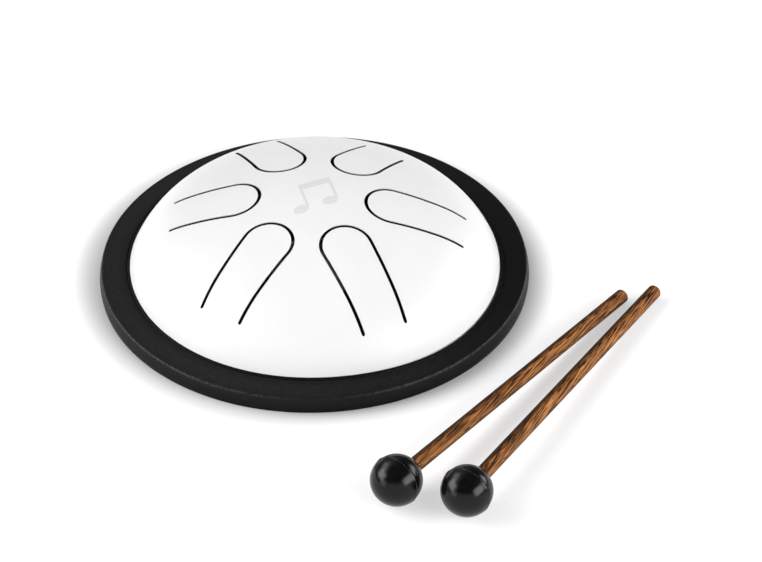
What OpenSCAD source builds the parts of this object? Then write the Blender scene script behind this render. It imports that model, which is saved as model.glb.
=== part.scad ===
// Small steel tongue drum with a rubber rim ring, and its pair of rubber-headed mallets.
// The drum stands on z = 0 with its axis on Z, and the mallets lie beside it on the same
// surface. The six tongues are cut out of the dome by U-shaped slots that open towards the rim.

/* [Dome] */
// Height of the crown above the surface the drum stands on
crown_h = 43.1; // [41:0.1:45]
// Spherical radius of the crown's outer face
crown_r = 134; // [130:1:140]
// Radius of the round between the crown and the flange, seen in section
edge_r = 44.9; // [43:0.1:46]
// Radius from the drum's axis that the edge round would reach at its widest
edge_reach = 81; // [80.6:0.1:81.2]
// Thickness of the steel sheet, the same in the dome and in the bottom plate
sheet_t = 1.2; // [0.8:0.1:1.2]
// Diameter of the two flanges that the rubber ring grips
flange_d = 170; // [166:1:172]

/* [Tongues] */
// Distances from the drum's axis to the slot ends, one for each tongue: longer is lower in pitch
tongue_ends = [58.9, 66, 68, 62.7, 52.2, 56.6]; // [45:0.1:70]
// Distance from the drum's axis to the centre of each tongue's round tip
tip_centre = 32.9; // [30:0.1:35]
// Radius of the slot's middle line round a tongue's tip
tip_r = 10.7; // [9.5:0.1:11]
// Half the distance between the two ends of a slot
slot_end_half = 9.5; // [8:0.1:11]
// Width of the cut
slot_w = 1.5; // [0.8:0.1:1.6]
// Angle of the first tongue, on the left, about the drum's axis
first_tongue_angle = 174.2; // [160:0.2:200]

/* [Bottom plate] */
// Diameter of the sound hole
sound_hole_d = 40; // [24:1:60]
// How far the middle of the plate is pressed up into the drum
plate_rise = 1.5; // [0:0.1:2.5]
// Outer radius of the pressed middle
plate_pan_r = 68; // [50:1:70]

/* [Rubber ring] */
// Outer diameter at the foot
ring_foot_d = 180.5; // [178:0.1:184]
// Outer diameter at the top edge
ring_top_d = 179.4; // [177:0.1:184]
// Height of the ring at its outer edge
ring_outer_h = 7; // [6.5:0.1:8]
// Height of the ring next to the dome
ring_inner_h = 8.2; // [7.5:0.1:9]
// Thickness of rubber under the bottom plate
ring_sole_t = 1.8; // [1.2:0.1:2]
// Inner diameter of the sole
sole_bore_d = 150; // [142:1:154]

/* [Mallets] */
// Diameter of the rubber head
head_d = 21.4; // [18:0.2:24]
// Diameter of the wooden stick at the head
stick_d = 6.4; // [5:0.1:8]
// Diameter of the wooden stick at its far end
stick_tip_d = 5.9; // [5:0.1:8]
// Distance from the head's centre to the far end of the stick
mallet_l = 157.6; // [120:0.2:200]
// Plan position of the left mallet's head
left_head_at = [30.4, -144.9]; // [-200:0.1:200]
// Direction in which the left mallet's stick points, in plan
left_heading = 51.5; // [45:0.1:55]
// Plan position of the right mallet's head
right_head_at = [57.9, -152.3]; // [-200:0.1:200]
// Direction in which the right mallet's stick points, in plan
right_heading = 57.7; // [55:0.1:60]

/* [Hidden] */
$fn = 96;

// Levels of the sandwich that the ring's groove holds: sole, plate, dome flange
plate_z = ring_sole_t;
flange_z = plate_z + sheet_t;
flange_top_z = flange_z + sheet_t;

// Centres of the two arcs of the dome's section. The edge arc touches the crown arc from
// inside, so its centre lies on a circle of radius crown_r - edge_r about the crown's centre.
crown_z = crown_h - crown_r;
edge_x = edge_reach - edge_r;
edge_z = crown_z + sqrt(pow(crown_r - edge_r, 2) - pow(edge_x, 2));
far = 400;

// Tongues: angle from one to the next, and the number of straight steps in each round of a slot
tongue_pitch = 60;
tip_steps = 18;
slot_end_steps = 4;

// Radius of the dome's outer face at the top of the flange, where the ring meets it
dome_foot_r = edge_x + sqrt(pow(edge_r, 2) - pow(flange_top_z - edge_z, 2));

// Ring: clearance round the flanges, bore beside the dome, and the rounds of its edges
ring_clear = 0.15;
ring_bore_top_r = 77.6;
ring_bore_low_r = dome_foot_r + ring_clear;
ring_top_round = 0.5;
ring_foot_round = 0.4;
ring_lip_round = 0.3;

// Mallet head: the part towards the stick is a little smaller, which leaves a parting step
// just in front of the head's centre
head_r = head_d / 2;
head_step = 0.2;
head_split = -0.6;
head_mouth_w = 1;
bore_clear = 0.05;
socket_bottom = -3;
stick_end_l = 2;
stick_end_round = 0.6;

// A mallet lies on the lip of its parting step and on the far end of its stick
lip_r = sqrt(pow(head_r, 2) - pow(head_split, 2));
stick_tilt = atan2(lip_r - stick_tip_d / 2, mallet_l - stick_end_round - head_split);
head_z = lip_r * cos(stick_tilt) + head_split * sin(stick_tilt);

// Pulls a corner of an outline back along both its sides, and gives the arc's centre
function unit(v) = v / norm(v);
function corner_half(p, c, n) = acos(unit(p - c) * unit(n - c)) / 2;
function corner_back(p, c, n, r) = r / tan(corner_half(p, c, n));
function corner_centre(p, c, n, r) =
    c + unit(unit(p - c) + unit(n - c)) * r / sin(corner_half(p, c, n));

// Outline with round convex corners; a corner whose radius is 0 stays sharp
module rounded_outline(points, radii) {
    count = len(points);
    polygon([
        for (i = [0:count - 1])
            let (c = points[i], p = points[(i + count - 1) % count], n = points[(i + 1) % count])
            for (q = radii[i] == 0 ? [c] : [
                c + unit(p - c) * corner_back(p, c, n, radii[i]),
                c + unit(n - c) * corner_back(p, c, n, radii[i])
            ]) q
    ]);
    for (i = [0:count - 1]) {
        if (radii[i] > 0) {
            c = points[i];
            p = points[(i + count - 1) % count];
            n = points[(i + 1) % count];
            translate(corner_centre(p, c, n, radii[i])) circle(radii[i]);
        }
    }
}

// Half section of everything under the dome's face, moved in by an inset
module dome_section(inset) {
    // Crown: a sector of the large circle, down to where the edge arc takes over
    intersection() {
        translate([0, crown_z]) circle(crown_r - inset);
        polygon([[0, crown_z], [edge_x, edge_z] * 4 - [0, crown_z] * 3, [0, far]]);
    }
    // Edge: the small circle lies inside the large one and touches it on the sector's side
    translate([edge_x, edge_z]) circle(edge_r - inset);
}

// Points along an arc about a centre, from one angle to another
function arc_points(centre, r, from, to, steps) = [
    for (i = [0:steps])
        let (angle = from + (to - from) * i / steps)
        centre + r * [cos(angle), sin(angle)]
];

// Plan of one tongue's slot, drawn from the centre of the tongue's tip with the rim towards +X:
// round the tip on the outside, round one slot end, back on the inside, round the other end
module slot_plan(end) {
    reach = end - tip_centre;
    half_w = slot_w / 2;
    // Angle about the tip's centre at which the straight legs leave the arc
    leave = atan2(slot_end_half, reach) + acos(tip_r / norm([reach, slot_end_half]));
    polygon(concat(
        arc_points([0, 0], tip_r + half_w, leave, 360 - leave, tip_steps),
        arc_points([reach, -slot_end_half], half_w, -leave, 180 - leave, slot_end_steps),
        arc_points([0, 0], tip_r - half_w, 360 - leave, leave, tip_steps),
        arc_points([reach, slot_end_half], half_w, leave - 180, leave, slot_end_steps)
    ));
}

// Pressed steel dome with its six tongues and its flat flange
module top_shell() {
    flange_inner_r = dome_foot_r - sheet_t / 2;
    color("white")
    difference() {
        rotate_extrude($fn = 180) {
            intersection() {
                difference() {
                    dome_section(0);
                    dome_section(sheet_t);
                }
                translate([0, flange_z]) square([far, far]);
            }
            translate([flange_inner_r, flange_z]) square([flange_d / 2 - flange_inner_r, sheet_t]);
        }
        for (i = [0:len(tongue_ends) - 1]) {
            rotate(first_tongue_angle + i * tongue_pitch)
                translate([tip_centre, 0, flange_top_z])
                    linear_extrude(crown_h) slot_plan(tongue_ends[i]);
        }
    }
}

// Steel plate that closes the drum, pressed up in the middle, with the sound hole
module bottom_plate() {
    slope_w = plate_rise;
    color("gainsboro")
    rotate_extrude($fn = 180)
        polygon([
            [flange_d / 2, plate_z],
            [flange_d / 2, flange_z],
            [plate_pan_r + slope_w, flange_z],
            [plate_pan_r, flange_z + plate_rise],
            [sound_hole_d / 2, flange_z + plate_rise],
            [sound_hole_d / 2, plate_z + plate_rise],
            [plate_pan_r, plate_z + plate_rise],
            [plate_pan_r + slope_w, plate_z]
        ]);
}

// Rubber ring stretched over both flanges: its foot is what the drum stands on
module rim_ring() {
    groove_r = flange_d / 2 + ring_clear;
    color([0.12, 0.12, 0.13])
    rotate_extrude($fn = 180)
        rounded_outline(
            [
                [sole_bore_d / 2, 0],
                [ring_foot_d / 2, 0],
                [ring_top_d / 2, ring_outer_h],
                [ring_bore_top_r, ring_inner_h],
                [ring_bore_low_r, flange_top_z],
                [groove_r, flange_top_z],
                [groove_r, plate_z],
                [sole_bore_d / 2, plate_z]
            ],
            [0, ring_foot_round, ring_top_round, ring_lip_round, 0, 0, 0, 0]
        );
}

// Puts a mallet's own frame, with +X along the stick, where the mallet lies
module lay_mallet(at, heading) {
    translate([at[0], at[1], head_z])
        rotate([0, 0, heading])
            rotate([0, stick_tilt, 0])
                children();
}

// Round hardwood stick, glued into the head and tapering from there to its short straight end
module stick() {
    color([0.55, 0.33, 0.16])
    rotate([0, 90, 0])
        rotate_extrude()
            translate([0, socket_bottom])
                rounded_outline(
                    [
                        [0, 0],
                        [stick_d / 2, 0],
                        [stick_d / 2, head_r - socket_bottom],
                        [stick_tip_d / 2, mallet_l - stick_end_l - socket_bottom],
                        [stick_tip_d / 2, mallet_l - socket_bottom],
                        [0, mallet_l - socket_bottom]
                    ],
                    [0, 0, 0, 0, stick_end_round, 0]
                );
}

// Moulded rubber ball with a blind socket for the stick and a step where the mould parts
module head() {
    mouth_x = sqrt(pow(head_r - head_step, 2) - pow(stick_d / 2 + head_mouth_w, 2));
    color([0.08, 0.08, 0.09])
    rotate([0, 90, 0])
        rotate_extrude($fn = 120)
            difference() {
                union() {
                    intersection() {
                        circle(head_r);
                        translate([0, -head_d]) square([head_d, head_d + head_split]);
                    }
                    intersection() {
                        circle(head_r - head_step);
                        translate([0, -head_r]) square([head_d, head_r + mouth_x]);
                    }
                }
                translate([0, socket_bottom]) square([stick_d / 2 + bore_clear, head_d]);
            }
}

module left_mallet_stick() {
    lay_mallet(left_head_at, left_heading) stick();
}

module left_mallet_head() {
    lay_mallet(left_head_at, left_heading) head();
}

module right_mallet_stick() {
    lay_mallet(right_head_at, right_heading) stick();
}

module right_mallet_head() {
    lay_mallet(right_head_at, right_heading) head();
}

top_shell();
bottom_plate();
rim_ring();
left_mallet_stick();
left_mallet_head();
right_mallet_stick();
right_mallet_head();
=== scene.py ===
"""Looks of a small steel tongue drum: white coated dome, rubber rim ring and two rubber-headed mallets."""

import math

import bpy
import numpy as np
from mathutils import Matrix, Vector, geometry


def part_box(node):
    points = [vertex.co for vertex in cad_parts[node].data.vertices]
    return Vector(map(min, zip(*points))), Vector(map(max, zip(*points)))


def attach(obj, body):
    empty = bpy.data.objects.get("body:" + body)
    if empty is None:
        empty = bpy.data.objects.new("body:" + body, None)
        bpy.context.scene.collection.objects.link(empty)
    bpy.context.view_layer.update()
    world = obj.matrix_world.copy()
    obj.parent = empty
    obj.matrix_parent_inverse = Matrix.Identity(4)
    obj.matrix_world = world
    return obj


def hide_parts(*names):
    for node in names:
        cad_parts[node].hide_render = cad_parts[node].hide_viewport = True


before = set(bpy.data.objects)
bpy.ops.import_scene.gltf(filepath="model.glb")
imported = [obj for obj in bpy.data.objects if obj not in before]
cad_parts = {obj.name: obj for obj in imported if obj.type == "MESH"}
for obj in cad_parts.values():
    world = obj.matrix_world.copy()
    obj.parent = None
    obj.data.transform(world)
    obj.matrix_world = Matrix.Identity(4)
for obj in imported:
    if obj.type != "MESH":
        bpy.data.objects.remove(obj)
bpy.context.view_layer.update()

MM = 0.001

# Dome, as in the CAD design. The crown's height and the flange's radius come from the frame.
SHEET_T = 1.2 * MM
CROWN_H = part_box("top_shell")[1].z
CROWN_R = 134 * MM
EDGE_R = 44.9 * MM
EDGE_REACH = 81 * MM
FLANGE_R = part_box("top_shell")[1].x
FLANGE_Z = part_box("top_shell")[0].z
FLANGE_TOP_Z = FLANGE_Z + SHEET_T
CROWN_Z = CROWN_H - CROWN_R
EDGE_X = EDGE_REACH - EDGE_R
EDGE_Z = CROWN_Z + math.sqrt((CROWN_R - EDGE_R) ** 2 - EDGE_X ** 2)
ARCS_MEET = math.atan2(EDGE_X, EDGE_Z - CROWN_Z)

# Tongues: the slots' centre lines, measured from the drum's axis
TONGUE_ENDS = [58.9 * MM, 66 * MM, 68 * MM, 62.7 * MM, 52.2 * MM, 56.6 * MM]
FIRST_TONGUE = math.radians(174.2)
TONGUE_PITCH = math.radians(60)
TIP_CENTRE = 32.9 * MM
TIP_R = 10.7 * MM
SLOT_END_HALF = 9.5 * MM
SLOT_W = 1.5 * MM
SLOT_ROUND = 0.08 * MM
SLOT_ROUND_STEPS = 4
SLOT_COAT_DEPTH = 0.32 * MM
TIP_OUTER_STEPS = 32
TIP_INNER_STEPS = 26
SLOT_END_STEPS = 8

# Spacing of the dome's mesh, its least clearance from the rim and from the slots, and the radius
# outside which its inner face is drawn inwards
DOME_SPACING = 1.7 * MM
CLEAR_OF_RIM = 0.35 * MM
CLEAR_OF_SLOTS = 0.6 * DOME_SPACING
RIM_STEPS = 300
INNER_SHIFT_FROM = 70 * MM

# Bottom plate
PLATE_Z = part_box("bottom_plate")[0].z
PLATE_RISE = 1.5 * MM
PLATE_PAN_R = 68 * MM
SOUND_HOLE_R = 20 * MM
PLATE_EDGE_ROUND = 0.2 * MM
PLATE_BEND_ROUND = 1.5 * MM
HOLE_EDGE_ROUND = 0.3 * MM
PLATE_STEPS = 192

# Rubber ring
RING_FOOT_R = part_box("rim_ring")[1].x
RING_TOP_R = RING_FOOT_R - 0.55 * MM
RING_OUTER_H = 7 * MM
RING_INNER_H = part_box("rim_ring")[1].z
RING_BORE_TOP_R = 77.3 * MM
RING_CLEAR = 0.15 * MM
RING_LIP_RISE = 0.25 * MM
RING_BARREL = 0.45 * MM
SOLE_BORE_R = 75 * MM
RING_STEPS = 288
# Barrelled stretch of the ring's wall, between the round of the foot and the round of the top edge
WALL_LOW = 0.45 * MM
WALL_HIGH = RING_OUTER_H - 0.6 * MM
WALL_STEPS = 10
# Fine groove in the ring's top behind the lip: where the bead ends, the bottom, where the top begins
BEAD_R = RING_BORE_TOP_R + 1.15 * MM
DIP_R = RING_BORE_TOP_R + 1.4 * MM
RISE_R = RING_BORE_TOP_R + 1.75 * MM
DIP = 0.35 * MM
# The lip stands off the dome on one side: heading of the widest gap, its spread, how far out and up
GAPE_AT = math.radians(331)
GAPE_SPREAD = math.radians(38)
GAPE_OUT = 1.9 * MM
GAPE_UP = -1.3 * MM
GAPE_WITHIN_R = RISE_R + 0.6 * MM

# Mallets
HEAD_R = 10.65 * MM
REAR_R = 10.48 * MM
HEAD_SPLIT = -0.6 * MM
LIP_FLARE = 0.16 * MM
LIP_LENGTH = 1.6 * MM
PARTING_W = 0.7 * MM
PARTING_DEPTH = 0.8 * MM
STICK_R = 3.2 * MM
STICK_TIP_R = 2.95 * MM
HEAD_TO_TIP = 157.6 * MM
SOCKET_BOTTOM = -3 * MM
STICK_STEPS = 60
STICK_SIDES = 48
STICK_END_ROUND = 0.8 * MM
STICK_END_STEPS = 6
MOUTH_W = 1 * MM
BORE_CLEAR = 0.05 * MM
FRONT_STEPS = 56
REAR_STEPS = 34
HEAD_SIDES = 120

# Camera: the photograph's view
CAMERA_DISTANCE = 1.895
CAMERA_ELEVATION = math.radians(38.18)
CAMERA_ROLL = math.radians(-0.71)
CAMERA_AIM = Vector((27.9 * MM, -1.75 * MM, -2.2 * MM))
CAMERA_LENS = 212.6
CAMERA_SENSOR = 36


def add_camera():
    """Camera at the photograph's viewing angle, rolled a little as the photograph is."""
    data = bpy.data.cameras.new("studio_camera")
    data.lens = CAMERA_LENS
    data.sensor_width = CAMERA_SENSOR
    camera = bpy.data.objects.new("studio_camera", data)
    bpy.context.scene.collection.objects.link(camera)
    place = Vector((0, -math.cos(CAMERA_ELEVATION), math.sin(CAMERA_ELEVATION))) * CAMERA_DISTANCE
    back = (place - CAMERA_AIM).normalized()
    level = Vector((0, 0, 1)).cross(back).normalized()
    upright = back.cross(level)
    right = level * math.cos(CAMERA_ROLL) + upright * math.sin(CAMERA_ROLL)
    up = upright * math.cos(CAMERA_ROLL) - level * math.sin(CAMERA_ROLL)
    turn = Matrix((right, up, back)).transposed().to_4x4()
    camera.matrix_world = Matrix.Translation(place) @ turn
    bpy.context.scene.camera = camera


# ---------------------------------------------------------------- mesh helpers

# Steps in each round of a section
ROUND_STEPS = 6


class Surface:
    """Collects faces whose corners carry their own normals, so that curved sheet shades smoothly."""

    def __init__(self):
        self.points = []
        self.faces = []
        self.normals = []
        self.material_of_face = []

    def add(self, point):
        self.points.append(tuple(point))
        return len(self.points) - 1

    def face(self, corners, normals, material=0):
        self.faces.append(tuple(corners))
        self.normals.extend(tuple(n) for n in normals)
        self.material_of_face.append(material)

    def build(self, name, materials):
        mesh = bpy.data.meshes.new(name)
        mesh.from_pydata(self.points, [], self.faces)
        mesh.polygons.foreach_set("material_index", self.material_of_face)
        mesh.polygons.foreach_set("use_smooth", [True] * len(self.faces))
        mesh.update()
        mesh.normals_split_custom_set(self.normals)
        for material in materials:
            mesh.materials.append(material)
        piece = bpy.data.objects.new(name, mesh)
        bpy.context.scene.collection.objects.link(piece)
        return piece


class Corner:
    """A point of a section, with the outward normals of the stretches before and after it."""

    def __init__(self, r, z, before, after, material=0):
        self.r = r
        self.z = z
        self.before = before
        self.after = after
        self.material = material


def outward(start, end):
    """Unit normal on the right of a stretch of outline, which is outwards on an anticlockwise one."""
    dr, dz = end[0] - start[0], end[1] - start[1]
    size = math.hypot(dr, dz)
    return (dz / size, -dr / size)


def section(points, closed=True):
    """Outline of (r, z, round radius[, material]) corners with true rounds, as a list of Corner."""
    corners = []
    count = len(points)
    for i, point in enumerate(points):
        here = Vector(point[:2])
        material = point[3] if len(point) > 3 else 0
        if not closed and i in (0, count - 1):
            other = points[1] if i == 0 else points[-2]
            normal = outward(here, other) if i == 0 else outward(other, here)
            corners.append(Corner(here.x, here.y, normal, normal, material))
            continue
        last = Vector(points[i - 1][:2])
        following = Vector(points[(i + 1) % count][:2])
        before, after = outward(last, here), outward(here, following)
        radius = point[2]
        if radius == 0:
            corners.append(Corner(here.x, here.y, before, after, material))
            continue
        turn = math.atan2(before[0] * after[1] - before[1] * after[0],
                          before[0] * after[0] + before[1] * after[1])
        start = here + (last - here).normalized() * radius * abs(math.tan(turn / 2))
        side = -1 if turn > 0 else 1
        centre = start + Vector(before) * radius * side
        for k in range(ROUND_STEPS + 1):
            angle = turn * k / ROUND_STEPS
            normal = (before[0] * math.cos(angle) - before[1] * math.sin(angle),
                      before[0] * math.sin(angle) + before[1] * math.cos(angle))
            place = centre - Vector(normal) * radius * side
            corners.append(Corner(place.x, place.y, normal, normal, material))
    return corners


def smooth(points):
    """Corners along a smooth run of points: each normal is square to the line between its neighbours."""
    made = []
    for i, (r, z) in enumerate(points):
        normal = outward(points[max(i - 1, 0)], points[min(i + 1, len(points) - 1)])
        made.append(Corner(r, z, normal, normal))
    return made


def arc(radius, start, end, steps):
    """Section of a ball round the origin: angles are measured from +r towards +z."""
    made = []
    for k in range(steps + 1):
        angle = start + (end - start) * k / steps
        normal = (math.cos(angle), math.sin(angle))
        made.append(Corner(radius * normal[0], radius * normal[1], normal, normal))
    return made


def revolve(name, corners, materials, steps, closed=True, place=Matrix(), widen=None):
    """Turns a section round the Z axis of place. A corner on the axis becomes one shared point.

    widen(corner, angle) is how far out and how far up a corner is moved at an angle round the axis.
    """
    surface = Surface()
    angles = [2 * math.pi * j / steps for j in range(steps)]
    turns = [(math.cos(angle), math.sin(angle)) for angle in angles]
    turn_only = place.to_3x3()
    rings = []
    for corner in corners:
        if abs(corner.r) < 1e-9:
            rings.append([surface.add(place @ Vector((0, 0, corner.z)))] * steps)
            continue
        ring = []
        for angle, (c, s) in zip(angles, turns):
            out, up = widen(corner, angle) if widen else (0, 0)
            r = corner.r + out
            ring.append(surface.add(place @ Vector((r * c, r * s, corner.z + up))))
        rings.append(ring)
    last = len(corners) if closed else len(corners) - 1
    for i in range(last):
        a, b = corners[i], corners[(i + 1) % len(corners)]
        ring_a, ring_b = rings[i], rings[(i + 1) % len(corners)]
        for j in range(steps):
            k = (j + 1) % steps
            square = [(ring_a[j], a.after, j), (ring_a[k], a.after, k),
                      (ring_b[k], b.before, k), (ring_b[j], b.before, j)]
            kept = []
            for entry in square:
                if entry[0] not in [e[0] for e in kept]:
                    kept.append(entry)
            normals = [turn_only @ Vector((n[0] * turns[t][0], n[0] * turns[t][1], n[1]))
                       for _, n, t in kept]
            surface.face([e[0] for e in kept], normals, a.material)
    return surface.build(name, materials)


# ------------------------------------------------------------ material helpers


class Finish:
    """Builds one procedural material around a Principled shader. Sizes are in millimetres.

    The pattern lies in the row frame, or in the frame that a matrix gives.
    """

    def __init__(self, name, roughness, ior=1.5, lies_in=None):
        self.material = bpy.data.materials.new(name)
        self.material.use_nodes = True
        self.tree = self.material.node_tree
        self.shader = next(n for n in self.tree.nodes if n.type == "BSDF_PRINCIPLED")
        self.shader.inputs["Roughness"].default_value = roughness
        self.shader.inputs["IOR"].default_value = ior
        self.object_place = self.tree.nodes.new("ShaderNodeTexCoord").outputs["Object"]
        if lies_in is not None:
            back = lies_in.inverted()
            own = self.tree.nodes.new("ShaderNodeMapping")
            own.inputs["Location"].default_value = back.translation
            own.inputs["Rotation"].default_value = back.to_euler()
            self.tree.links.new(self.object_place, own.inputs["Vector"])
            self.object_place = own.outputs["Vector"]

    def connect(self, source, socket):
        if isinstance(source, bpy.types.NodeSocket):
            self.tree.links.new(source, socket)
        else:
            socket.default_value = source

    def place(self, stretch=(1, 1, 1), turn=(0, 0, 0), shift=(0, 0, 0)):
        """Object coordinates in millimetres, turned, shifted and then squeezed by stretch."""
        lean = self.tree.nodes.new("ShaderNodeMapping")
        lean.inputs["Rotation"].default_value = turn
        lean.inputs["Location"].default_value = [s * MM for s in shift]
        self.tree.links.new(self.object_place, lean.inputs["Vector"])
        squeeze = self.tree.nodes.new("ShaderNodeMapping")
        squeeze.inputs["Scale"].default_value = [s / MM for s in stretch]
        self.tree.links.new(lean.outputs["Vector"], squeeze.inputs["Vector"])
        return squeeze.outputs["Vector"]

    def noise(self, place, size, detail=2.0, rough=0.5, distortion=0.0):
        """Noise whose features are about size across."""
        node = self.tree.nodes.new("ShaderNodeTexNoise")
        self.tree.links.new(place, node.inputs["Vector"])
        node.inputs["Scale"].default_value = 1 / size
        node.inputs["Detail"].default_value = detail
        node.inputs["Roughness"].default_value = rough
        node.inputs["Distortion"].default_value = distortion
        return node.outputs["Fac"]

    def split(self, place, axis):
        """One coordinate of a place."""
        node = self.tree.nodes.new("ShaderNodeSeparateXYZ")
        self.tree.links.new(place, node.inputs["Vector"])
        return node.outputs[axis]

    def reach(self, place):
        """Distance of a place from the Z axis."""
        x, y = self.split(place, 0), self.split(place, 1)
        squares = self.math("ADD", self.math("MULTIPLY", x, x), self.math("MULTIPLY", y, y))
        return self.math("SQRT", squares)

    def ramp(self, factor, stops):
        """Colours at the given factors."""
        node = self.tree.nodes.new("ShaderNodeValToRGB")
        elements = node.color_ramp.elements
        while len(elements) < len(stops):
            elements.new(0.5)
        for element, (position, colour) in zip(elements, stops):
            element.position = position
            element.color = (*colour, 1)
        self.connect(factor, node.inputs["Fac"])
        return node.outputs["Color"]

    def remap(self, factor, low, high, to_low=0.0, to_high=1.0):
        """Linear change of range, clamped at both ends."""
        node = self.tree.nodes.new("ShaderNodeMapRange")
        self.connect(factor, node.inputs["Value"])
        node.inputs["From Min"].default_value = low
        node.inputs["From Max"].default_value = high
        node.inputs["To Min"].default_value = to_low
        node.inputs["To Max"].default_value = to_high
        return node.outputs["Result"]

    def math(self, operation, a, b=0.0):
        node = self.tree.nodes.new("ShaderNodeMath")
        node.operation = operation
        self.connect(a, node.inputs[0])
        self.connect(b, node.inputs[1])
        return node.outputs["Value"]

    def blend(self, factor, first, second, mode="MIX"):
        """Mixes two colours."""
        node = self.tree.nodes.new("ShaderNodeMix")
        node.data_type = "RGBA"
        node.blend_type = mode
        self.connect(factor, node.inputs["Factor"])
        self.connect(first, node.inputs[6])
        self.connect(second, node.inputs[7])
        return node.outputs[2]

    def bump(self, height, depth, below=None):
        """Relief of the given depth, over another bump if one is given."""
        node = self.tree.nodes.new("ShaderNodeBump")
        node.inputs["Strength"].default_value = 1
        node.inputs["Distance"].default_value = depth * MM
        self.tree.links.new(height, node.inputs["Height"])
        if below is not None:
            self.tree.links.new(below, node.inputs["Normal"])
        return node.outputs["Normal"]

    def use(self, colour=None, roughness=None, normal=None):
        if colour is not None:
            self.connect(colour, self.shader.inputs["Base Color"])
        if roughness is not None:
            self.connect(roughness, self.shader.inputs["Roughness"])
        if normal is not None:
            self.connect(normal, self.shader.inputs["Normal"])
        return self.material


# ------------------------------------------------------------------- materials

# Turn that brings the ring's most shaded side to +X, where the painted shade is darkest
RING_SHADE_TURN = math.radians(-20)
# Direction of the darkest painted shade round a stick's axis, in the mallet's own frame
STICK_SHADE_SIDE = math.radians(-143.6)


def white_coat():
    """Satin white powder coat: faint cloudiness, fine orange peel and tiny specks."""
    finish = Finish("white_powder_coat", roughness=0.42, ior=1.45)
    place = finish.place()
    clouds = finish.noise(place, 22, detail=3)
    specks = finish.noise(place, 0.35, detail=1)
    tone = finish.ramp(clouds, [(0.3, (0.702, 0.704, 0.711)), (0.7, (0.721, 0.723, 0.729))])
    speck = finish.remap(specks, 0.7, 0.78)
    colour = finish.blend(speck, tone, (0.67, 0.673, 0.682, 1))
    peel = finish.noise(place, 1.1, detail=1.5, rough=0.45)
    roughness = finish.remap(finish.noise(place, 6, detail=4), 0.3, 0.7, 0.38, 0.48)
    return finish.use(colour, roughness, finish.bump(peel, 0.012))


def dark_steel():
    """Bare sheet inside the drum with rolling marks, painted near black as shade inside the drum."""
    finish = Finish("bare_steel_painted_shade", roughness=0.6, ior=1.4)
    marks = finish.noise(finish.place(stretch=(1, 0.05, 1)), 0.5, detail=4)
    stains = finish.noise(finish.place(), 9, detail=5)
    # Near-black colour: painted shade for the inside of the drum, seen through the slots and the sound
    # hole
    colour = finish.ramp(stains, [(0.25, (0.006, 0.006, 0.007)), (0.75, (0.015, 0.0145, 0.014))])
    roughness = finish.remap(marks, 0.3, 0.7, 0.5, 0.7)
    return finish.use(colour, roughness, finish.bump(marks, 0.01))


def cut_steel():
    """Walls of the slots: cut sheet with upright marks, painted near black as shade deep in the slots."""
    finish = Finish("cut_edge_painted_shade", roughness=0.6, ior=1.3)
    marks = finish.noise(finish.place(stretch=(1, 1, 0.1)), 0.25, detail=2)
    # Near-black colour: painted shade deep in the slots
    colour = finish.ramp(marks, [(0.3, (0.006, 0.006, 0.0065)), (0.7, (0.022, 0.022, 0.023))])
    return finish.use(colour, None, finish.bump(marks, 0.01))


def ring_rubber():
    """Matt black moulded rubber with dusty bloom. Painted shade darkens it by the lip, towards the foot
    and on one side, it is also darker towards the outer edge, and a painted highlight runs along the outer
    top edge.
    """
    finish = Finish("ring_rubber", roughness=0.4, ior=1.23)
    place = finish.place()
    x, z = finish.split(place, 0), finish.split(place, 2)
    reach = finish.reach(place)
    # Painted shade: darker towards the lip by the dome, towards the foot of the wall and on one side; also
    # darker towards the outer edge
    off_lip = finish.remap(reach, 78.2, 82.5, 0.1, 1)
    up_wall = finish.remap(z, 0.4, 6.6)
    off_edge = finish.remap(reach, 89.4, 86.5, 0.6, 1)
    painted_shade_mask = finish.math("MULTIPLY", finish.math("MULTIPLY", off_lip, up_wall), off_edge)
    # Painted shade on one side of the ring, where less light falls
    sideways = finish.split(finish.place(turn=(0, 0, RING_SHADE_TURN)), 0)
    painted_shade_mask = finish.math("MULTIPLY", painted_shade_mask, finish.remap(sideways, 80, -60, 0.2, 1.1))
    bloom = finish.noise(place, 1.3, detail=6, rough=0.75)
    grain = finish.noise(place, 0.32, detail=3, rough=0.6)
    # Dusty bloom, dimmed by the painted shade
    dust_and_painted_shade = finish.math("MULTIPLY", finish.remap(bloom, 0.34, 0.68, 0.25, 1), painted_shade_mask)
    colour = finish.ramp(dust_and_painted_shade, [(0, (0.0004, 0.0004, 0.0005)), (1, (0.013, 0.0127, 0.0136))])
    # Painted highlight: a paler speckled line along the outer top edge, strongest at the left and right
    # sides
    edge = finish.math("MULTIPLY", finish.remap(reach, 88.6, 89.3), finish.remap(z, 5.9, 6.8))
    edge = finish.math("MULTIPLY", edge, finish.remap(finish.math("ABSOLUTE", x), 5, 50, 0.1, 1))
    wear = finish.remap(finish.noise(place, 0.8, detail=5), 0.36, 0.6)
    painted_highlight_line = finish.math("MULTIPLY", edge, wear)
    colour = finish.blend(painted_highlight_line, colour, (0.05, 0.049, 0.051, 1))
    roughness = finish.remap(finish.math("ADD", bloom, grain), 0.75, 1.25, 0.28, 0.5)
    rough_skin = finish.bump(grain, 0.035)
    waves = finish.noise(place, 3.5, detail=2)
    return finish.use(colour, roughness, finish.bump(waves, 0.03, rough_skin))


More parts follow.
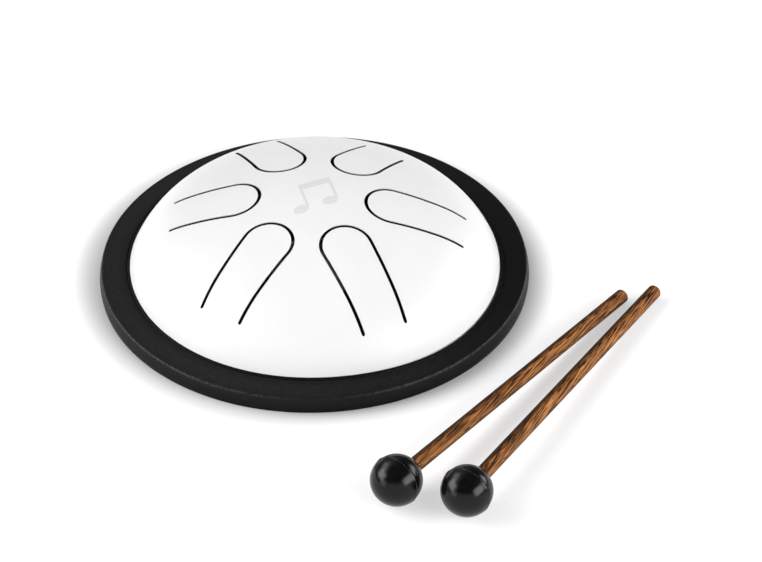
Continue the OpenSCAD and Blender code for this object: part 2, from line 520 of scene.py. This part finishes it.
def head_rubber(name, lies_in):
    """Semi-gloss black rubber of a mallet head, with a painted highlight: a pale line along the lip at its
    parting.
    """
    finish = Finish(name, roughness=0.24, ior=1.31, lies_in=lies_in)
    place = finish.place()
    smears = finish.noise(finish.place(stretch=(1, 1, 0.4)), 2.2, detail=5, rough=0.6)
    grain = finish.noise(place, 0.25, detail=2)
    colour = finish.ramp(smears, [(0.3, (0.001, 0.001, 0.0013)), (0.75, (0.0035, 0.0035, 0.0042))])
    along = finish.split(place, 2)
    split = HEAD_SPLIT / MM
    # Painted highlight: a paler speckled line along the lip just before the parting groove
    lip = finish.math("MULTIPLY", finish.remap(along, split - 0.4, split - 0.2),
                      finish.remap(along, split + 0.1, split + 0.02))
    wear = finish.remap(finish.noise(place, 1.6, detail=4), 0.38, 0.6, 0.15, 1)
    painted_highlight_line = finish.math("MULTIPLY", lip, wear)
    colour = finish.blend(painted_highlight_line, colour, (0.06, 0.059, 0.062, 1))
    roughness = finish.remap(smears, 0.3, 0.7, 0.13, 0.22)
    skin = finish.bump(grain, 0.012)
    waves = finish.noise(place, 2.6, detail=2)
    return finish.use(colour, roughness, finish.bump(waves, 0.03, skin))


def stick_wood(name, lies_in, shift):
    """Oiled brown hardwood: the grain runs along the stick at a slight slant; painted shade darkens one
    side strongly and the opposite edge less.
    """
    finish = Finish(name, roughness=0.5, ior=1.2, lies_in=lies_in @ Matrix.Rotation(STICK_SHADE_SIDE, 4, "Z"))
    slant = (math.radians(1), math.radians(-6), 0)
    along = finish.place(stretch=(1, 1, 0.035), turn=slant, shift=shift)
    bands = finish.noise(along, 1.3, detail=3, rough=0.55, distortion=0.4)
    colour = finish.ramp(bands, [
        (0.28, (0.13, 0.046, 0.01)),
        (0.38, (0.2, 0.076, 0.018)),
        (0.47, (0.27, 0.108, 0.03)),
        (0.56, (0.33, 0.139, 0.042)),
        (0.66, (0.28, 0.109, 0.034)),
        (0.76, (0.35, 0.152, 0.048)),
    ])
    fibres = finish.place(stretch=(1, 1, 0.016), turn=slant, shift=shift)
    streaks = finish.noise(fibres, 0.42, detail=2, rough=0.5, distortion=0.1)
    shade = finish.ramp(streaks, [
        (0.38, (0.05, 0.03, 0.015)),
        (0.45, (0.4, 0.33, 0.28)),
        (0.52, (1.02, 1, 0.98)),
        (0.61, (1.6, 1.65, 1.55)),
    ])
    colour = finish.blend(1.0, colour, shade, "MULTIPLY")
    dashes = finish.noise(finish.place(stretch=(1, 1, 0.022), turn=slant, shift=shift), 0.26, detail=1)
    pore = finish.remap(dashes, 0.59, 0.66)
    colour = finish.blend(pore, colour, (0.012, 0.003, 0.001, 1))
    # Painted shade across the stick: darkest on one side, less dark on the opposite edge
    around = finish.split(finish.place(), 0)
    painted_side_shade = finish.ramp(finish.remap(around, -STICK_R / MM, STICK_R / MM), [
        (0.0, (0.28, 0.26, 0.22)),
        (0.1, (0.45, 0.42, 0.37)),
        (0.2, (0.9, 0.88, 0.85)),
        (0.58, (1, 1, 1)),
        (0.7, (0.72, 0.7, 0.66)),
        (0.83, (0.28, 0.26, 0.22)),
        (0.92, (0.12, 0.11, 0.09)),
    ])
    colour = finish.blend(1.0, colour, painted_side_shade, "MULTIPLY")
    roughness = finish.remap(streaks, 0.3, 0.7, 0.42, 0.58)
    relief = finish.math("SUBTRACT", streaks, pore)
    return finish.use(colour, roughness, finish.bump(relief, 0.03))


def print_ink():
    """Pale grey printing ink, slightly worn."""
    finish = Finish("pale_grey_print", roughness=0.5)
    wear = finish.noise(finish.place(), 0.6, detail=4)
    colour = finish.ramp(wear, [(0.3, (0.58, 0.58, 0.59)), (0.7, (0.63, 0.63, 0.64))])
    return finish.use(colour)


# ------------------------------------------------------------------------ dome


def dome_outside(r):
    """Height and unit normal (r, z) of the dome's outer face."""
    return dome_face(r, 0)


def dome_inside(r):
    """Height and unit normal (r, z) of the dome's inner face, pointing into the drum."""
    z, (nr, nz) = dome_face(r, SHEET_T)
    return z, (-nr, -nz)


def dome_face(r, inset):
    radius, centre_r, centre_z = CROWN_R - inset, 0, CROWN_Z
    if r > radius * math.sin(ARCS_MEET):
        radius, centre_r, centre_z = EDGE_R - inset, EDGE_X, EDGE_Z
    rise = math.sqrt(radius ** 2 - (r - centre_r) ** 2)
    return centre_z + rise, ((r - centre_r) / radius, rise / radius)


def foot_radius(z, inset):
    """Radius at which the dome's face comes down to a height."""
    return EDGE_X + math.sqrt((EDGE_R - inset) ** 2 - (z - EDGE_Z) ** 2)


def lifted(plan, face):
    """A plan point and its normal on one of the dome's faces."""
    r = math.hypot(*plan)
    z, (nr, nz) = face(r)
    if r < 1e-9:
        return (plan[0], plan[1], z), (0, 0, nz)
    return (plan[0], plan[1], z), (nr * plan[0] / r, nr * plan[1] / r, nz)


def slot_outline(tongue, grow):
    """Plan outline of a tongue's slot, grown outwards. Every growth has the same number of points."""
    reach = TONGUE_ENDS[tongue] - TIP_CENTRE
    half = SLOT_W / 2 + grow
    leave = math.atan2(SLOT_END_HALF, reach) + math.acos(TIP_R / math.hypot(reach, SLOT_END_HALF))
    leg_steps = round(math.sqrt(reach ** 2 + SLOT_END_HALF ** 2 - TIP_R ** 2) / DOME_SPACING)
    rounds = [
        ((0, 0), TIP_R + half, leave, 2 * math.pi - leave, TIP_OUTER_STEPS),
        ((reach, -SLOT_END_HALF), half, -leave, math.pi - leave, SLOT_END_STEPS),
        ((0, 0), TIP_R - half, 2 * math.pi - leave, leave, TIP_INNER_STEPS),
        ((reach, SLOT_END_HALF), half, leave - math.pi, leave, SLOT_END_STEPS),
    ]
    heading = FIRST_TONGUE + tongue * TONGUE_PITCH
    c, s = math.cos(heading), math.sin(heading)
    local = []
    for i, (centre, radius, start, end, steps) in enumerate(rounds):
        for k in range(steps + 1):
            angle = start + (end - start) * k / steps
            local.append((centre[0] + radius * math.cos(angle), centre[1] + radius * math.sin(angle)))
        centre, radius, start = rounds[(i + 1) % 4][:3]
        goal = (centre[0] + radius * math.cos(start), centre[1] + radius * math.sin(start))
        here = local[-1]
        for k in range(1, leg_steps):
            share = k / leg_steps
            local.append((here[0] + (goal[0] - here[0]) * share, here[1] + (goal[1] - here[1]) * share))
    return [((x + TIP_CENTRE) * c - y * s, (x + TIP_CENTRE) * s + y * c) for x, y in local]


def spread_points(foot_r, keep_off):
    """Points spread evenly over the dome's outer face, clear of the slots and of the foot."""
    rings = []
    r = 0.0
    while r < foot_r - CLEAR_OF_RIM:
        rings.append(r)
        slope = dome_outside(r)[1][1]
        r += DOME_SPACING * max(slope, 0.2)
    made = []
    for i, r in enumerate(rings):
        count = max(1, round(2 * math.pi * r / DOME_SPACING))
        for j in range(count):
            angle = 2 * math.pi * (j + 0.5 * (i % 2)) / count
            made.append((r * math.cos(angle), r * math.sin(angle)))
    made = np.array(made)
    edges = np.array(keep_off)
    clear = [np.min(np.hypot(*(edges - p).T)) > CLEAR_OF_SLOTS for p in made]
    return [tuple(p) for p, far_enough in zip(made, clear) if far_enough]


def dome_plan():
    """Triangles of the dome in plan: (points, triangles, slot loops, rim loop), as point numbers."""
    foot_r = foot_radius(FLANGE_TOP_Z, 0)
    points, edges, slots = [], [], []
    for tongue in range(len(TONGUE_ENDS)):
        outline = slot_outline(tongue, SLOT_ROUND)
        first = len(points)
        slots.append(list(range(first, first + len(outline))))
        points.extend(outline)
    keep_off = list(points)
    rim = list(range(len(points), len(points) + RIM_STEPS))
    for k in range(RIM_STEPS):
        angle = 2 * math.pi * k / RIM_STEPS
        points.append((foot_r * math.cos(angle), foot_r * math.sin(angle)))
    for loop in slots + [rim]:
        edges.extend((loop[k], loop[(k + 1) % len(loop)]) for k in range(len(loop)))
    points.extend(spread_points(foot_r, keep_off))
    made = geometry.delaunay_2d_cdt([Vector(p) for p in points], edges, slots, 0, 1e-7, True)
    came_from = [ids[0] for ids in made[3]]
    triangles = [tuple(came_from[v] for v in tri) for tri, ids in zip(made[2], made[5]) if not ids]
    return points, triangles, slots, rim


def area_sign(points, triangle):
    (ax, ay), (bx, by), (cx, cy) = (points[v] for v in triangle)
    return (bx - ax) * (cy - ay) - (by - ay) * (cx - ax)


def inner_plan(point):
    """Where the inner face lies below a point of the outer one: the foot is drawn in by the sheet."""
    r = math.hypot(*point)
    if r <= INNER_SHIFT_FROM:
        return point
    foot_r, inner_foot_r = foot_radius(FLANGE_TOP_Z, 0), foot_radius(FLANGE_Z, SHEET_T)
    share = (r - INNER_SHIFT_FROM) / (foot_r - INNER_SHIFT_FROM)
    new_r = INNER_SHIFT_FROM + share * (inner_foot_r - INNER_SHIFT_FROM)
    return (point[0] * new_r / r, point[1] * new_r / r)


def make_dome(coat, steel, cut):
    """Pressed dome with its six tongues. The slots' walls are coated at the top and bare cut steel below,
    painted near black as shade.
    """
    points, triangles, slots, rim = dome_plan()
    surface = Surface()
    bare_plan = list(points)
    for tongue, loop in enumerate(slots):
        for v, place in zip(loop, slot_outline(tongue, 0)):
            bare_plan[v] = place
    outer = [lifted(p, dome_outside) for p in points]
    inner = [lifted(inner_plan(p), dome_inside) for p in bare_plan]
    outer_id = [surface.add(place) for place, _ in outer]
    inner_id = [surface.add(place) for place, _ in inner]
    for tri in triangles:
        if area_sign(points, tri) < 0:
            tri = tri[::-1]
        surface.face([outer_id[v] for v in tri], [outer[v][1] for v in tri], 0)
        back = tri[::-1]
        surface.face([inner_id[v] for v in back], [inner[v][1] for v in back], 1)
    for tongue, loop in enumerate(slots):
        add_slot_edge(surface, tongue, loop, outer, outer_id, inner_id)
    add_flange(surface, rim, outer, outer_id, inner_id)
    dome = surface.build("tongue_dome", [coat, steel, cut])
    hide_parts("top_shell")
    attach(dome, "drum")


def add_slot_edge(surface, tongue, loop, outer, outer_id, inner_id):
    """Rounded edge of one slot and the straight wall below it, coated at the top and bare further down,
    where painted shade makes it near black.
    """
    grown, bare = slot_outline(tongue, SLOT_ROUND), slot_outline(tongue, 0)
    count = len(loop)
    inward = [((b[0] - g[0]) / SLOT_ROUND, (b[1] - g[1]) / SLOT_ROUND, 0) for g, b in zip(grown, bare)]
    rows = [[outer_id[v] for v in loop]]
    normals = [[outer[v][1] for v in loop]]
    for k in range(1, SLOT_ROUND_STEPS + 1):
        angle = math.pi / 2 * k / SLOT_ROUND_STEPS
        across, drop = SLOT_ROUND * math.sin(angle), SLOT_ROUND * (1 - math.cos(angle))
        row, row_normals = [], []
        for i, v in enumerate(loop):
            place, normal = outer[v]
            row.append(surface.add((place[0] + inward[i][0] * across, place[1] + inward[i][1] * across,
                                    place[2] - drop)))
            mixed = Vector(normal) * math.cos(angle) + Vector(inward[i]) * math.sin(angle)
            row_normals.append(mixed.normalized())
        rows.append(row)
        normals.append(row_normals)
    coated = [Vector(surface.points[v]) - Vector((0, 0, SLOT_COAT_DEPTH)) for v in rows[-1]]
    rows.append([surface.add(place) for place in coated])
    rows.append([inner_id[v] for v in loop])
    normals += [[Vector(n) for n in inward]] * 2
    for k in range(len(rows) - 1):
        # Below the coat the wall takes the near-black painted shade
        cut_wall = k == len(rows) - 2
        for i in range(count):
            j = (i + 1) % count
            corners = [rows[k][i], rows[k][j], rows[k + 1][j], rows[k + 1][i]]
            corner_normals = [normals[k][i], normals[k][j], normals[k + 1][j], normals[k + 1][i]]
            surface.face(corners, corner_normals, 2 if cut_wall else 0)


def add_flange(surface, rim, outer, outer_id, inner_id):
    """The flat flange round the dome's foot, which the rubber ring hides."""
    count = len(rim)
    edge = []
    for v in rim:
        x, y, _ = outer[v][0]
        reach = FLANGE_R / math.hypot(x, y)
        edge.append([surface.add((x * reach, y * reach, z)) for z in (FLANGE_TOP_Z, FLANGE_Z)])
    for i in range(count):
        j = (i + 1) % count
        top = [outer_id[rim[i]], edge[i][0], edge[j][0], outer_id[rim[j]]]
        side = [edge[i][0], edge[i][1], edge[j][1], edge[j][0]]
        under = [edge[i][1], inner_id[rim[i]], inner_id[rim[j]], edge[j][1]]
        out_i, out_j = (Vector((outer[rim[k]][0][0], outer[rim[k]][0][1], 0)).normalized() for k in (i, j))
        surface.face(top, [(0, 0, 1)] * 4, 0)
        surface.face(side, [out_i, out_i, out_j, out_j], 0)
        surface.face(under, [(0, 0, -1)] * 4, 0)


# --------------------------------------------------------------- plate and ring


def make_plate(coat, steel):
    """Bottom plate with its pressed middle and the sound hole: coated below, bare above, where painted
    shade makes it near black.
    """
    low, high = PLATE_Z, PLATE_Z + SHEET_T
    pan_foot = PLATE_PAN_R + PLATE_RISE
    corners = section([
        (FLANGE_R, high, PLATE_EDGE_ROUND, 1),
        (pan_foot, high, PLATE_BEND_ROUND, 1),
        (PLATE_PAN_R, high + PLATE_RISE, PLATE_BEND_ROUND, 1),
        (SOUND_HOLE_R, high + PLATE_RISE, HOLE_EDGE_ROUND, 0),
        (SOUND_HOLE_R, low + PLATE_RISE, HOLE_EDGE_ROUND, 0),
        (PLATE_PAN_R, low + PLATE_RISE, PLATE_BEND_ROUND, 0),
        (pan_foot, low, PLATE_BEND_ROUND, 0),
        (FLANGE_R, low, PLATE_EDGE_ROUND, 0),
    ])
    plate = revolve("base_plate", corners, [coat, steel], PLATE_STEPS)
    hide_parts("bottom_plate")
    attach(plate, "drum")


def make_ring(rubber):
    """Rubber ring: sole, barrelled wall, sloping top, fine groove behind the lip, and gripping slot."""
    foot_r = foot_radius(FLANGE_TOP_Z, 0)
    groove_r = FLANGE_R + RING_CLEAR
    slope = (RING_INNER_H - RING_OUTER_H) / (RING_TOP_R - RING_BORE_TOP_R)

    def top(r):
        return RING_INNER_H - slope * (r - RING_BORE_TOP_R)

    wall = []
    for k in range(WALL_STEPS + 1):
        share = k / WALL_STEPS
        bulge = RING_BARREL * 4 * share * (1 - share)
        chord = RING_FOOT_R + (RING_TOP_R - RING_FOOT_R) * share
        wall.append((chord - RING_BARREL / 2 + bulge, WALL_LOW + (WALL_HIGH - WALL_LOW) * share))
    corners = section([
        (SOLE_BORE_R, PLATE_Z),
        (SOLE_BORE_R, 0, 0.3 * MM),
        (wall[0][0], 0, 0.4 * MM),
        wall[0],
    ], closed=False)[:-1]
    corners += smooth(wall)
    corners += section([
        wall[-1],
        (RING_TOP_R - RING_BARREL / 2, RING_OUTER_H, 0.45 * MM),
        (RISE_R, top(RISE_R), 0.12 * MM),
        (DIP_R + 0.1 * MM, top(DIP_R) - DIP, 0.05 * MM),
        (DIP_R - 0.05 * MM, top(DIP_R) - DIP, 0.05 * MM),
        (BEAD_R, top(BEAD_R) + RING_LIP_RISE / 2, 0.15 * MM),
        (RING_BORE_TOP_R, RING_INNER_H + RING_LIP_RISE, 0.1 * MM),
        (foot_r + RING_CLEAR, FLANGE_TOP_Z, 0),
        (groove_r, FLANGE_TOP_Z, 0),
        (groove_r, PLATE_Z, 0),
        (SOLE_BORE_R, PLATE_Z),
    ], closed=False)[1:-1]
    # The stretch that closes the outline is the top of the sole, so it faces up
    corners[0].before = (0, 1)

    def lip_gape(corner, angle):
        """The stretched lip stands a little off the dome, and lower, on one side."""
        if corner.r > GAPE_WITHIN_R or corner.z <= FLANGE_TOP_Z:
            return 0, 0
        off = (angle - GAPE_AT + math.pi) % (2 * math.pi) - math.pi
        share = math.exp(-abs(off / GAPE_SPREAD) ** 3)
        return GAPE_OUT * share, GAPE_UP * share

    ring = revolve("rubber_rim", corners, [rubber], RING_STEPS, widen=lip_gape)
    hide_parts("rim_ring")
    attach(ring, "drum")


# --------------------------------------------------------------------- mallets


def mallet_place(side):
    """Matrix that lays a mallet's own frame on its CAD stick: Z runs along it from the head's centre."""
    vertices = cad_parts[f"{side}_mallet_stick"].data.vertices
    points = np.array(sorted({tuple(round(c, 6) for c in v.co) for v in vertices}))
    middle = points.mean(0)
    along = Vector(np.linalg.svd(points - middle)[2][0])
    low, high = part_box(f"{side}_mallet_head")
    away = Vector(middle) - (low + high) / 2
    if along.dot(away) < 0:
        along.negate()
    far_end = max(along.dot(Vector(p)) for p in points)
    origin = Vector(middle) + along * (far_end - HEAD_TO_TIP - along.dot(Vector(middle)))
    across = along.cross(Vector((0, 0, 1))).normalized()
    turn = Matrix((across, along.cross(across), along)).transposed().to_4x4()
    return Matrix.Translation(origin) @ turn


def make_stick(side, wood):
    """Turned stick, tapering from the head to a softly rounded far end."""
    corners = [Corner(0, SOCKET_BOTTOM, (0, -1), (0, -1))]
    corners.append(Corner(STICK_R, SOCKET_BOTTOM, (0, -1), (1, 0)))
    for k in range(STICK_STEPS + 1):
        share = k / STICK_STEPS
        z = HEAD_R + (HEAD_TO_TIP - STICK_END_ROUND - HEAD_R) * share
        corners.append(Corner(STICK_R + (STICK_TIP_R - STICK_R) * share, z, (1, 0), (1, 0)))
    for k in range(1, STICK_END_STEPS + 1):
        angle = math.pi / 2 * k / STICK_END_STEPS
        normal = (math.cos(angle), math.sin(angle))
        corners.append(Corner(STICK_TIP_R - STICK_END_ROUND + STICK_END_ROUND * normal[0],
                              HEAD_TO_TIP - STICK_END_ROUND + STICK_END_ROUND * normal[1], normal, normal))
    corners.append(Corner(0, HEAD_TO_TIP, (0, 1), (0, 1)))
    place = mallet_place(side)
    stick = revolve(f"{side}_stick", corners, [wood], STICK_SIDES, closed=False, place=place)
    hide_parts(f"{side}_mallet_stick")
    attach(stick, f"{side}_mallet")


def make_head(side, rubber):
    """Moulded ball: its front part ends in a slightly flared lip, and a groove parts it from the rest."""
    mouth_r = STICK_R + MOUTH_W
    bore_r = STICK_R + BORE_CLEAR
    mouth_z = math.sqrt(REAR_R ** 2 - mouth_r ** 2)
    front = []
    front_to = math.asin(HEAD_SPLIT / HEAD_R) - 0.006
    for k in range(FRONT_STEPS + 1):
        angle = -math.pi / 2 + (front_to + math.pi / 2) * k / FRONT_STEPS
        z = HEAD_R * math.sin(angle)
        flare = LIP_FLARE * max(0, 1 - (HEAD_SPLIT - z) / LIP_LENGTH) ** 2
        front.append((HEAD_R * math.cos(angle) + flare, z))
    front[0] = (0, -HEAD_R)
    rear_from = math.asin((HEAD_SPLIT + PARTING_W + 0.15 * MM) / REAR_R)
    rear_to = math.acos(mouth_r / REAR_R) - 0.05
    rear = arc(REAR_R, rear_from, rear_to, REAR_STEPS)
    lip_r, groove_r = front[-1][0], REAR_R - PARTING_DEPTH
    corners = smooth(front)
    corners += section([
        front[-1],
        (lip_r, HEAD_SPLIT, 0.06 * MM),
        (groove_r, HEAD_SPLIT, 0.05 * MM),
        (groove_r, HEAD_SPLIT + PARTING_W, 0.05 * MM),
        (REAR_R, HEAD_SPLIT + PARTING_W, 0.1 * MM),
        (rear[0].r, rear[0].z),
    ], closed=False)[1:-1]
    corners += rear
    corners += section([
        (rear[-1].r, rear[-1].z),
        (mouth_r, mouth_z, 0.3 * MM),
        (bore_r, mouth_z, 0.2 * MM),
        (bore_r, SOCKET_BOTTOM, 0),
        (0, SOCKET_BOTTOM),
    ], closed=False)[1:]
    place = mallet_place(side)
    head = revolve(f"{side}_ball", corners, [rubber], HEAD_SIDES, closed=False, place=place)
    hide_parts(f"{side}_mallet_head")
    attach(head, f"{side}_mallet")


# ----------------------------------------------------------------------- print

PRINT_AT = Vector((0, 0))
PRINT_TURN = math.radians(14)
PRINT_SIZE = 21 * MM
PRINT_LIFT = 0.03 * MM
PRINT_STEP = 0.006 * MM
PRINT_SINK = 0.05 * MM
# Parts of the printed notes, in units of the motif's height: half the length and half the width of
# an oval and its lean, where the ovals lie, and the stems
OVAL_HALF = (0.17, 0.115)
OVAL_LEAN = math.radians(20)
OVAL_RIBS = 12
OVAL_TIP = math.radians(8)
OVALS_AT = ((0.17, 0.12), (0.79, 0.24))
STEM_OFF = 0.15
STEM_W = 0.06
STEM_FROM = 0.06
STEM_TO = 0.58
BAR_RIBS = 10


def oval_ribs(cx, cy):
    """A leaning oval as ribs across it, from one tip to the other."""
    lean = Matrix.Rotation(OVAL_LEAN, 2)
    centre = Vector((cx, cy))
    band = []
    for k in range(OVAL_RIBS + 1):
        a = OVAL_TIP + (math.pi - 2 * OVAL_TIP) * k / OVAL_RIBS
        half = Vector((-OVAL_HALF[0] * math.cos(a), OVAL_HALF[1] * math.sin(a)))
        band.append((centre + lean @ Vector((half.x, -half.y)), centre + lean @ half))
    return band


def bar_ribs(low_start, low_end, high_start, high_end):
    """A four-sided bar as ribs between its low and its high side."""
    lows, highs = (Vector(low_start), Vector(low_end)), (Vector(high_start), Vector(high_end))
    shares = [k / BAR_RIBS for k in range(BAR_RIBS + 1)]
    return [(lows[0].lerp(lows[1], share), highs[0].lerp(highs[1], share)) for share in shares]


def note_shapes():
    """A pair of beamed notes as bands of ribs (pairs of points), lower left at 0, 0."""
    bands = []
    for x, lift in OVALS_AT:
        right = x + STEM_OFF + STEM_W / 2
        left = right - STEM_W
        low, high = lift + STEM_FROM, lift + STEM_TO
        bands.append(oval_ribs(x, lift))
        bands.append(bar_ribs((right, low), (right, high), (left, low), (left, high)))
    left, right = OVALS_AT[0][0] + STEM_OFF - STEM_W / 2, OVALS_AT[1][0] + STEM_OFF + STEM_W / 2
    bands.append(bar_ribs((left, 0.7), (right, 0.82), (left, 0.88), (right, 1.0)))
    return bands


def make_print(ink):
    """A thin layer of ink that follows the crown: a plain pair of notes."""
    surface = Surface()
    centre = Vector((0.5, 0.5))
    turn = Matrix.Rotation(PRINT_TURN, 2)
    for number, band in enumerate(note_shapes()):
        lift = PRINT_LIFT + number * PRINT_STEP
        top, under, normals, plans = [], [], [], []
        for rib in band:
            for p in rib:
                plan = PRINT_AT + turn @ ((p - centre) * PRINT_SIZE)
                place, normal = lifted(tuple(plan), dome_outside)
                plans.append(plan)
                normals.append(normal)
                top.append(surface.add(Vector(place) + Vector(normal) * lift))
                under.append(surface.add(Vector(place) - Vector(normal) * PRINT_SINK))
        last = len(top) - 2
        for i in range(0, last, 2):
            ring = [i, i + 2, i + 3, i + 1]
            surface.face([top[v] for v in ring], [normals[v] for v in ring])
            back = ring[::-1]
            surface.face([under[v] for v in back], [tuple(-c for c in normals[v]) for v in back])
        edges = [(i, i + 2) for i in range(0, last, 2)]
        edges += [(last, last + 1), (1, 0)]
        edges += [(i + 3, i + 1) for i in range(0, last, 2)]
        for a, b in edges:
            run = plans[b] - plans[a]
            out = Vector((run.y, -run.x, 0)).normalized()
            surface.face([under[a], under[b], top[b], top[a]], [out] * 4)
    motif = surface.build("printed_notes", [ink])
    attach(motif, "drum")


# ---------------------------------------------------------------------- studio

FLOOR_SIZE = 60
# The floor's glow is painted light that fills in shadows; it rises from nothing at the first reach to full
# at the second, in millimetres from the drum's axis, leaving painted shade round the ring's foot
FLOOR_GLOW = 0.5
FLOOR_GLOW_FROM = (89, 102)
BASE_LIGHT = 0.12
# Soft boxes round the object: azimuth from +X and elevation in degrees, half width and half height
# in degrees of the bright core and of the soft edge, and strength
SOFT_BOXES = [
    (180, 28, (9, 27), (7, 21), 7.6),
    (-32, 24, (15, 30), (7, 19), 8.0),
    (22, 20, (8, 22), (6, 15), 6.3),
    (148, 42, (8, 24), (6, 18), 3.2),
    (140, 45, (15, 60), (10, 36), 0.5),
    (207, 10, (7, 18), (6, 14), 3.0),
    (270, 8, (30, 60), (5, 25), 1.1),
]


def make_floor():
    """Pale floor that reaches past every view. It glows as painted light that fills in shadows, except
    close round the ring's foot, which stays as painted shade.
    """
    finish = Finish("studio_floor", roughness=0.9)
    tone = finish.noise(finish.place(), 400, detail=2)
    colour = finish.ramp(tone, [(0.3, (0.53, 0.53, 0.53)), (0.7, (0.54, 0.54, 0.54))])
    material = finish.use(colour)
    # Painted light: the floor glows, except close round the ring's foot, which is left as painted shade
    glow = finish.remap(finish.reach(finish.place()), *FLOOR_GLOW_FROM, 0, FLOOR_GLOW)
    finish.shader.inputs["Emission Color"].default_value = (1, 1, 1, 1)
    finish.connect(glow, finish.shader.inputs["Emission Strength"])
    surface = Surface()
    half = FLOOR_SIZE / 2
    corners = [surface.add((x * half, y * half, 0)) for x, y in ((-1, -1), (1, -1), (1, 1), (-1, 1))]
    surface.face(corners, [(0, 0, 1)] * 4)
    floor = surface.build("studio_floor", [material])


class Sky:
    """World shader that adds up soft boxes seen in their directions."""

    def __init__(self, tree):
        self.tree = tree
        self.direction = tree.nodes.new("ShaderNodeTexCoord").outputs["Generated"]

    def value(self, operation, a, b=0.0):
        node = self.tree.nodes.new("ShaderNodeMath")
        node.operation = operation
        for source, socket in zip((a, b), node.inputs):
            if isinstance(source, bpy.types.NodeSocket):
                self.tree.links.new(source, socket)
            else:
                socket.default_value = source
        return node.outputs["Value"]

    def along(self, axis):
        node = self.tree.nodes.new("ShaderNodeVectorMath")
        node.operation = "DOT_PRODUCT"
        self.tree.links.new(self.direction, node.inputs[0])
        node.inputs[1].default_value = axis
        return node.outputs["Value"]

    def fade(self, offset, core, edge):
        """1 within the core angle, falling smoothly to 0 at the edge angle."""
        node = self.tree.nodes.new("ShaderNodeMapRange")
        node.interpolation_type = "SMOOTHSTEP"
        self.tree.links.new(self.value("ABSOLUTE", offset), node.inputs["Value"])
        node.inputs["From Min"].default_value = math.tan(math.radians(core))
        node.inputs["From Max"].default_value = math.tan(math.radians(edge))
        node.inputs["To Min"].default_value = 1
        node.inputs["To Max"].default_value = 0
        return node.outputs["Result"]

    def soft_box(self, azimuth, elevation, widths, heights, strength):
        a, e = math.radians(azimuth), math.radians(elevation)
        ahead = Vector((math.cos(a) * math.cos(e), math.sin(a) * math.cos(e), math.sin(e)))
        across = Vector((-math.sin(a), math.cos(a), 0))
        upward = ahead.cross(across)
        depth = self.value("MAXIMUM", self.along(ahead), 0.01)
        sideways = self.value("DIVIDE", self.along(across), depth)
        lengthways = self.value("DIVIDE", self.along(upward), depth)
        shape = self.value("MULTIPLY", self.fade(sideways, *widths), self.fade(lengthways, *heights))
        return self.value("MULTIPLY", shape, strength)


def make_world():
    """Plain studio light from all round: a dim base and soft boxes. The camera itself sees plain white."""
    world = bpy.data.worlds.new("studio")
    world.use_nodes = True
    bpy.context.scene.world = world
    tree = world.node_tree
    nodes, links = tree.nodes, tree.links
    nodes.clear()
    sky = Sky(tree)
    total = BASE_LIGHT
    for box in SOFT_BOXES:
        total = sky.value("ADD", sky.soft_box(*box), total)
    studio = nodes.new("ShaderNodeBackground")
    links.new(total, studio.inputs["Strength"])
    studio.inputs["Color"].default_value = (1, 1, 1, 1)
    plain = nodes.new("ShaderNodeBackground")
    plain.inputs["Color"].default_value = (1, 1, 1, 1)
    plain.inputs["Strength"].default_value = 1
    seen = nodes.new("ShaderNodeLightPath")
    mix = nodes.new("ShaderNodeMixShader")
    links.new(seen.outputs["Is Camera Ray"], mix.inputs[0])
    links.new(studio.outputs[0], mix.inputs[1])
    links.new(plain.outputs[0], mix.inputs[2])
    output = nodes.new("ShaderNodeOutputWorld")
    links.new(mix.outputs[0], output.inputs["Surface"])


add_camera()
bpy.context.scene.view_settings.view_transform = "Standard"
white, steel, rubber = white_coat(), dark_steel(), ring_rubber()
make_dome(white, steel, cut_steel())
make_plate(white, steel)
make_ring(rubber)
for mallet_side, grain_shift in (("left", (0, 0, 0)), ("right", (31, 17, 240))):
    own_frame = mallet_place(mallet_side)
    make_stick(mallet_side, stick_wood(f"{mallet_side}_stick_wood", own_frame, grain_shift))
    make_head(mallet_side, head_rubber(f"{mallet_side}_head_rubber", own_frame))
make_print(print_ink())
make_floor()
make_world()
